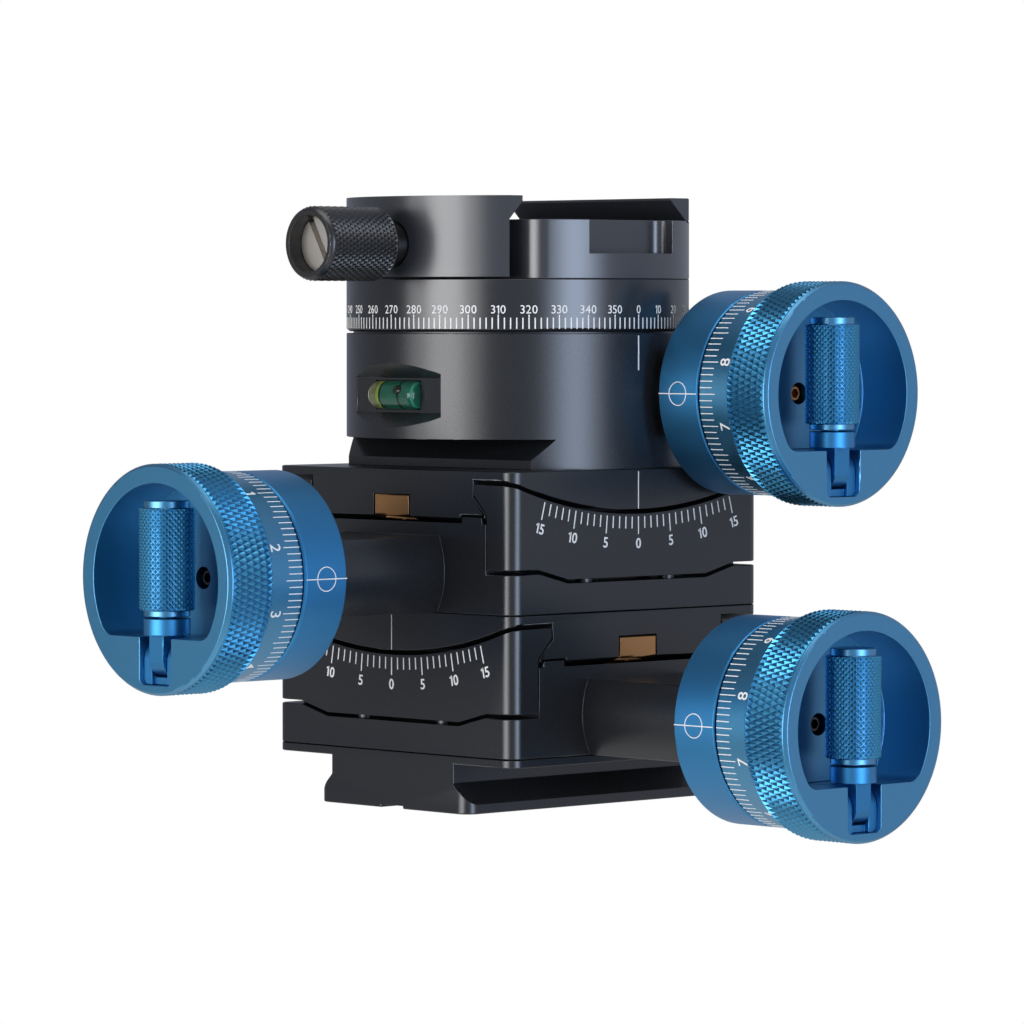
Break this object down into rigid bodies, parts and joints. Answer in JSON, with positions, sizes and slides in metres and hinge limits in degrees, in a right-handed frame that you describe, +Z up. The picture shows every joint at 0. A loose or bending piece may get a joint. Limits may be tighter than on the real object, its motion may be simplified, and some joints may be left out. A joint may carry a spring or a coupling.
{
  "type": "geared tripod head",
  "caption": "Geared tripod head: crossed worm-driven tilt stages, a geared panning base with a spirit level, knobs with folding cranks, and a screw clamp for dovetail plates.",
  "frame": {"origin": "mouth of the tripod thread, in the middle of the base plate's underside", "axes": "+Z up, out of the base towards the clamp; +X towards the lower stage's knob and the panning knob; -Y towards the upper stage's knob and the clamp's thumb knob"},
  "size_m": [0.1151, 0.1252, 0.1078],
  "materials": {
    "black_anodised": "black satin anodised",
    "blue_anodised": "blue satin anodised",
    "dark_metal": "dark anodised, knurled",
    "brass": "machined",
    "steel": "machined",
    "vial_glass": "clear",
    "vial_liquid": "yellow-green liquid"
  },
  "bodies": {
    "base": {"base_plate": "black_anodised", "tripod_bush": "steel", "lower_bed": "black_anodised", "lower_bed_screws": "steel", "lower_cheek_front": "black_anodised", "lower_cheek_rear": "black_anodised", "lower_cheek_screws": "dark_metal", "lower_bearings": "steel", "lower_index_ring": "blue_anodised"},
    "lower_cradle": {"lower_cradle": "black_anodised", "lower_rack": "brass", "lower_rack_screws": "steel", "upper_bed": "black_anodised", "upper_bed_screws": "steel", "upper_cheek_left": "black_anodised", "upper_cheek_right": "black_anodised", "upper_cheek_screws": "dark_metal", "upper_bearings": "steel", "upper_index_ring": "blue_anodised"},
    "upper_cradle": {"upper_cradle": "black_anodised", "upper_rack": "brass", "upper_rack_screws": "steel", "level_body": "black_anodised", "level_body_screws": "steel", "level_vial": "vial_glass", "level_liquid": "vial_liquid", "pan_bearings": "steel", "pan_index_ring": "blue_anodised", "pan_turn_bush": "dark_metal"},
    "platform": {"pan_scale_ring": "black_anodised", "pan_worm_wheel": "brass", "pan_nut": "steel", "clamp_body": "black_anodised", "clamp_body_screws": "steel", "clamp_fixed_jaw": "black_anodised"},
    "jaw": {"clamp_moving_jaw": "black_anodised", "clamp_guide_pins": "steel"},
    "thumb_knob": {"clamp_thumb_knob": "dark_metal", "clamp_screw": "steel"},
    "lower_knob": {"lower_knob": "blue_anodised", "lower_knob_screw": "dark_metal", "lower_worm_shaft": "steel", "lower_crank_bracket": "blue_anodised", "lower_crank_pin": "steel"},
    "lower_crank": {"lower_crank_arm": "blue_anodised"},
    "lower_grip": {"lower_crank_grip": "blue_anodised"},
    "upper_knob": {"upper_knob": "blue_anodised", "upper_knob_screw": "dark_metal", "upper_worm_shaft": "steel", "upper_crank_bracket": "blue_anodised", "upper_crank_pin": "steel"},
    "upper_crank": {"upper_crank_arm": "blue_anodised"},
    "upper_grip": {"upper_crank_grip": "blue_anodised"},
    "pan_knob": {"pan_knob": "blue_anodised", "pan_knob_screw": "brass", "pan_worm_shaft": "steel", "pan_crank_bracket": "blue_anodised", "pan_crank_pin": "steel"},
    "pan_crank": {"pan_crank_arm": "blue_anodised"},
    "pan_grip": {"pan_crank_grip": "blue_anodised"}
  },
  "joints": [
    {"name": "lower_tilt", "type": "hinge", "parent": "base", "child": "lower_cradle", "pos_m": [0, 0, 0.1122], "axis": [0, 1, 0], "range_deg": [-15, 15]},
    {"name": "upper_tilt", "type": "hinge", "parent": "lower_cradle", "child": "upper_cradle", "pos_m": [0, 0, 0.1365], "axis": [1, 0, 0], "range_deg": [-15, 15]},
    {"name": "pan_turn", "type": "hinge", "parent": "upper_cradle", "child": "platform", "pos_m": [0, 0, 0.086], "axis": [0, 0, 1], "continuous": true},
    {"name": "jaw_slide", "type": "slide", "parent": "platform", "child": "jaw", "axis": [0, 1, 0], "range_m": [0, 0.003]},
    {"name": "thumb_knob_turn", "type": "hinge", "parent": "jaw", "child": "thumb_knob", "pos_m": [0, -0.04, 0.097], "axis": [0, 1, 0], "continuous": true},
    {"name": "lower_knob_turn", "type": "hinge", "parent": "base", "child": "lower_knob", "pos_m": [0.056, 0, 0.0168], "axis": [1, 0, 0], "continuous": true},
    {"name": "lower_crank_fold", "type": "hinge", "parent": "lower_knob", "child": "lower_crank", "pos_m": [0.0804, 0, 0.0033], "axis": [0, 1, 0], "range_deg": [0, 90]},
    {"name": "lower_grip_spin", "type": "hinge", "parent": "lower_crank", "child": "lower_grip", "pos_m": [0.0804, 0, 0.0168], "axis": [0, 0, 1], "continuous": true},
    {"name": "upper_knob_turn", "type": "hinge", "parent": "lower_cradle", "child": "upper_knob", "pos_m": [0, -0.056, 0.0411], "axis": [0, -1, 0], "continuous": true},
    {"name": "upper_crank_fold", "type": "hinge", "parent": "upper_knob", "child": "upper_crank", "pos_m": [0, -0.0804, 0.0276], "axis": [1, 0, 0], "range_deg": [0, 90]},
    {"name": "upper_grip_spin", "type": "hinge", "parent": "upper_crank", "child": "upper_grip", "pos_m": [0, -0.0804, 0.0411], "axis": [0, 0, 1], "continuous": true},
    {"name": "pan_knob_turn", "type": "hinge", "parent": "upper_cradle", "child": "pan_knob", "pos_m": [0.0316, 0.0208, 0.0714], "axis": [1, 0, 0], "continuous": true},
    {"name": "pan_crank_fold", "type": "hinge", "parent": "pan_knob", "child": "pan_crank", "pos_m": [0.056, 0.0208, 0.0579], "axis": [0, 1, 0], "range_deg": [0, 90]},
    {"name": "pan_grip_spin", "type": "hinge", "parent": "pan_crank", "child": "pan_grip", "pos_m": [0.056, 0.0208, 0.0714], "axis": [0, 0, 1], "continuous": true}
  ],
  "couplings": [
    {"joint": "lower_knob_turn", "follows": "lower_tilt", "ratio": 180},
    {"joint": "upper_knob_turn", "follows": "upper_tilt", "ratio": 180},
    {"joint": "pan_knob_turn", "follows": "pan_turn", "ratio": 36},
    {"joint": "thumb_knob_turn", "follows": "jaw_slide", "rad_per_m": 6283.2}
  ]
}
